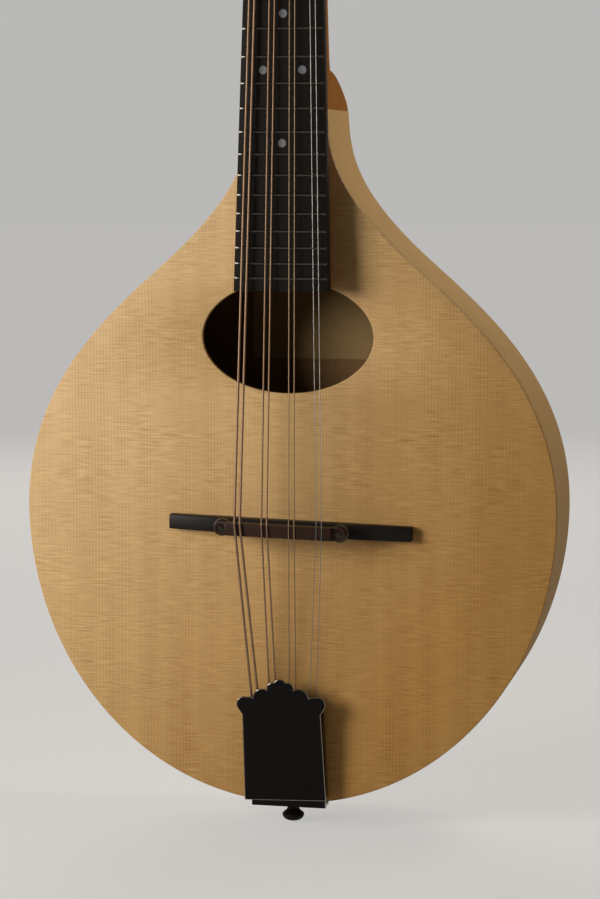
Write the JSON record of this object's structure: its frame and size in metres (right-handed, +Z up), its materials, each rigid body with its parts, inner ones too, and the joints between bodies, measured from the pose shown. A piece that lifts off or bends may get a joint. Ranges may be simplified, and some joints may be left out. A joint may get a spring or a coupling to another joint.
{
  "type": "mandola",
  "caption": "Flat-top teardrop mandola: oval soundhole, paired strings, adjustable floating bridge, slide-on tailpiece cover, long fretted neck and open-gear tuners.",
  "frame": {"origin": "Centre of the nut's string edge: X = 0 on the centre line, Z = 0 where the strings leave the nut, Y = 0 on the front plane of the soundboard.", "axes": "+Z up the neck, -Y out of the soundboard towards the player's audience, +X to the treble side."},
  "size_m": [0.2698, 0.0822, 0.7073],
  "materials": {
    "spruce_top": "satin lacquer",
    "maple_back": "satin lacquer",
    "maple_sides": "satin lacquer",
    "inside_wood": "sanded, unfinished",
    "mahogany_neck": "satin lacquer",
    "ebony_board": "oiled",
    "ebony_pin": "polished",
    "saddle_wood": "oiled",
    "headstock_face": "satin lacquer",
    "label_paper": "bare paper",
    "bone_nut": "polished",
    "tuner_button": "polished, on a nickel shaft",
    "rod_steel": "drawn",
    "bright_nickel": "polished nickel",
    "dark_nickel": "dark polished nickel",
    "wound_string": "bronze wound",
    "plain_string": "plain drawn wire"
  },
  "bodies": {
    "body": {"soundboard": "spruce_top", "back_plate": "maple_back", "rib_bass": "maple_sides", "rib_treble": "maple_sides", "neck_block": "inside_wood", "tail_block": "inside_wood", "lining_top_bass": "inside_wood", "lining_top_treble": "inside_wood", "lining_back_bass": "inside_wood", "lining_back_treble": "inside_wood", "upper_cross_brace": "inside_wood", "lower_cross_brace": "inside_wood", "tone_bar_bass": "inside_wood", "tone_bar_treble": "inside_wood", "back_brace_upper": "inside_wood", "back_brace_middle": "inside_wood", "back_brace_lower": "inside_wood", "label": "label_paper", "neck": "mahogany_neck", "truss_rod": "rod_steel", "fretboard": "ebony_board", "nut": "bone_nut", "headstock_veneer": "headstock_face", "truss_rod_cover": "headstock_face", "bridge_base": "ebony_board", "bridge_post_bass": "bright_nickel", "bridge_post_treble": "bright_nickel", "tailpiece_base": "dark_nickel", "end_pin": "ebony_pin", "tuner_plate_bass": "bright_nickel", "tuner_plate_treble": "bright_nickel", "string_1": "wound_string", "string_2": "wound_string", "string_3": "wound_string", "string_4": "wound_string", "string_5": "wound_string", "string_6": "wound_string", "string_7": "plain_string", "string_8": "plain_string"},
    "saddle": {"bridge_saddle": "saddle_wood"},
    "wheel_bass": {"thumbwheel_bass": "bright_nickel"},
    "wheel_treble": {"thumbwheel_treble": "bright_nickel"},
    "cover": {"tailpiece_cover": "dark_nickel"},
    "worm_1": {"tuner_worm_1": "tuner_button"},
    "post_1": {"tuner_post_1": "bright_nickel"},
    "worm_2": {"tuner_worm_2": "tuner_button"},
    "post_2": {"tuner_post_2": "bright_nickel"},
    "worm_3": {"tuner_worm_3": "tuner_button"},
    "post_3": {"tuner_post_3": "bright_nickel"},
    "worm_4": {"tuner_worm_4": "tuner_button"},
    "post_4": {"tuner_post_4": "bright_nickel"},
    "worm_5": {"tuner_worm_5": "tuner_button"},
    "post_5": {"tuner_post_5": "bright_nickel"},
    "worm_6": {"tuner_worm_6": "tuner_button"},
    "post_6": {"tuner_post_6": "bright_nickel"},
    "worm_7": {"tuner_worm_7": "tuner_button"},
    "post_7": {"tuner_post_7": "bright_nickel"},
    "worm_8": {"tuner_worm_8": "tuner_button"},
    "post_8": {"tuner_post_8": "bright_nickel"}
  },
  "joints": [
    {"name": "tuner_button_1", "type": "hinge", "parent": "body", "child": "worm_1", "pos_m": [-0.0195, 0.02433, 0.02553], "axis": [1, 0, 0], "continuous": true},
    {"name": "tuner_post_turn_1", "type": "hinge", "parent": "body", "child": "post_1", "pos_m": [-0.0195, 0.00672, 0.03748], "axis": [0, 0.9662, -0.2579], "continuous": true},
    {"name": "tuner_button_2", "type": "hinge", "parent": "body", "child": "worm_2", "pos_m": [-0.0195, 0.03026, 0.04775], "axis": [1, 0, 0], "continuous": true},
    {"name": "tuner_post_turn_2", "type": "hinge", "parent": "body", "child": "post_2", "pos_m": [-0.0195, 0.01265, 0.0597], "axis": [0, 0.9662, -0.2579], "continuous": true},
    {"name": "tuner_button_3", "type": "hinge", "parent": "body", "child": "worm_3", "pos_m": [-0.0195, 0.0362, 0.06997], "axis": [1, 0, 0], "continuous": true},
    {"name": "tuner_post_turn_3", "type": "hinge", "parent": "body", "child": "post_3", "pos_m": [-0.0195, 0.01858, 0.08192], "axis": [0, 0.9662, -0.2579], "continuous": true},
    {"name": "tuner_button_4", "type": "hinge", "parent": "body", "child": "worm_4", "pos_m": [-0.0195, 0.04213, 0.0922], "axis": [1, 0, 0], "continuous": true},
    {"name": "tuner_post_turn_4", "type": "hinge", "parent": "body", "child": "post_4", "pos_m": [-0.0195, 0.02451, 0.10414], "axis": [0, 0.9662, -0.2579], "continuous": true},
    {"name": "tuner_button_5", "type": "hinge", "parent": "body", "child": "worm_5", "pos_m": [0.0195, 0.04213, 0.0922], "axis": [1, 0, 0], "continuous": true},
    {"name": "tuner_post_turn_5", "type": "hinge", "parent": "body", "child": "post_5", "pos_m": [0.0195, 0.02451, 0.10414], "axis": [0, 0.9662, -0.2579], "continuous": true},
    {"name": "tuner_button_6", "type": "hinge", "parent": "body", "child": "worm_6", "pos_m": [0.0195, 0.0362, 0.06997], "axis": [1, 0, 0], "continuous": true},
    {"name": "tuner_post_turn_6", "type": "hinge", "parent": "body", "child": "post_6", "pos_m": [0.0195, 0.01858, 0.08192], "axis": [0, 0.9662, -0.2579], "continuous": true},
    {"name": "tuner_button_7", "type": "hinge", "parent": "body", "child": "worm_7", "pos_m": [0.0195, 0.03026, 0.04775], "axis": [1, 0, 0], "continuous": true},
    {"name": "tuner_post_turn_7", "type": "hinge", "parent": "body", "child": "post_7", "pos_m": [0.0195, 0.01265, 0.0597], "axis": [0, 0.9662, -0.2579], "continuous": true},
    {"name": "tuner_button_8", "type": "hinge", "parent": "body", "child": "worm_8", "pos_m": [0.0195, 0.02433, 0.02553], "axis": [1, 0, 0], "continuous": true},
    {"name": "tuner_post_turn_8", "type": "hinge", "parent": "body", "child": "post_8", "pos_m": [0.0195, 0.00672, 0.03748], "axis": [0, 0.9662, -0.2579], "continuous": true},
    {"name": "saddle_height", "type": "slide", "parent": "body", "child": "saddle", "axis": [0, -1, 0], "range_m": [-0.0009, 0.0018], "deforming": ["string_1", "string_2", "string_3", "string_4", "string_5", "string_6", "string_7", "string_8"]},
    {"name": "thumbwheel_turn_bass", "type": "hinge", "parent": "saddle", "child": "wheel_bass", "pos_m": [-0.02984, 0, -0.43402], "axis": [0, -1, 0], "range_deg": [-410, 820]},
    {"name": "thumbwheel_turn_treble", "type": "hinge", "parent": "saddle", "child": "wheel_treble", "pos_m": [0.02984, 0, -0.43558], "axis": [0, -1, 0], "range_deg": [-410, 820]},
    {"name": "cover_slide", "type": "slide", "parent": "body", "child": "cover", "axis": [-0.0313, -0.0731, 0.9968], "range_m": [0, 0.01]}
  ],
  "couplings": [
    {"joint": "tuner_post_turn_1", "follows": "tuner_button_1", "ratio": 0.071429},
    {"joint": "tuner_post_turn_2", "follows": "tuner_button_2", "ratio": 0.071429},
    {"joint": "tuner_post_turn_3", "follows": "tuner_button_3", "ratio": 0.071429},
    {"joint": "tuner_post_turn_4", "follows": "tuner_button_4", "ratio": 0.071429},
    {"joint": "tuner_post_turn_5", "follows": "tuner_button_5", "ratio": 0.071429},
    {"joint": "tuner_post_turn_6", "follows": "tuner_button_6", "ratio": 0.071429},
    {"joint": "tuner_post_turn_7", "follows": "tuner_button_7", "ratio": 0.071429},
    {"joint": "tuner_post_turn_8", "follows": "tuner_button_8", "ratio": 0.071429},
    {"joint": "thumbwheel_turn_bass", "follows": "saddle_height", "rad_per_m": 7913.3},
    {"joint": "thumbwheel_turn_treble", "follows": "saddle_height", "rad_per_m": 7913.3}
  ]
}
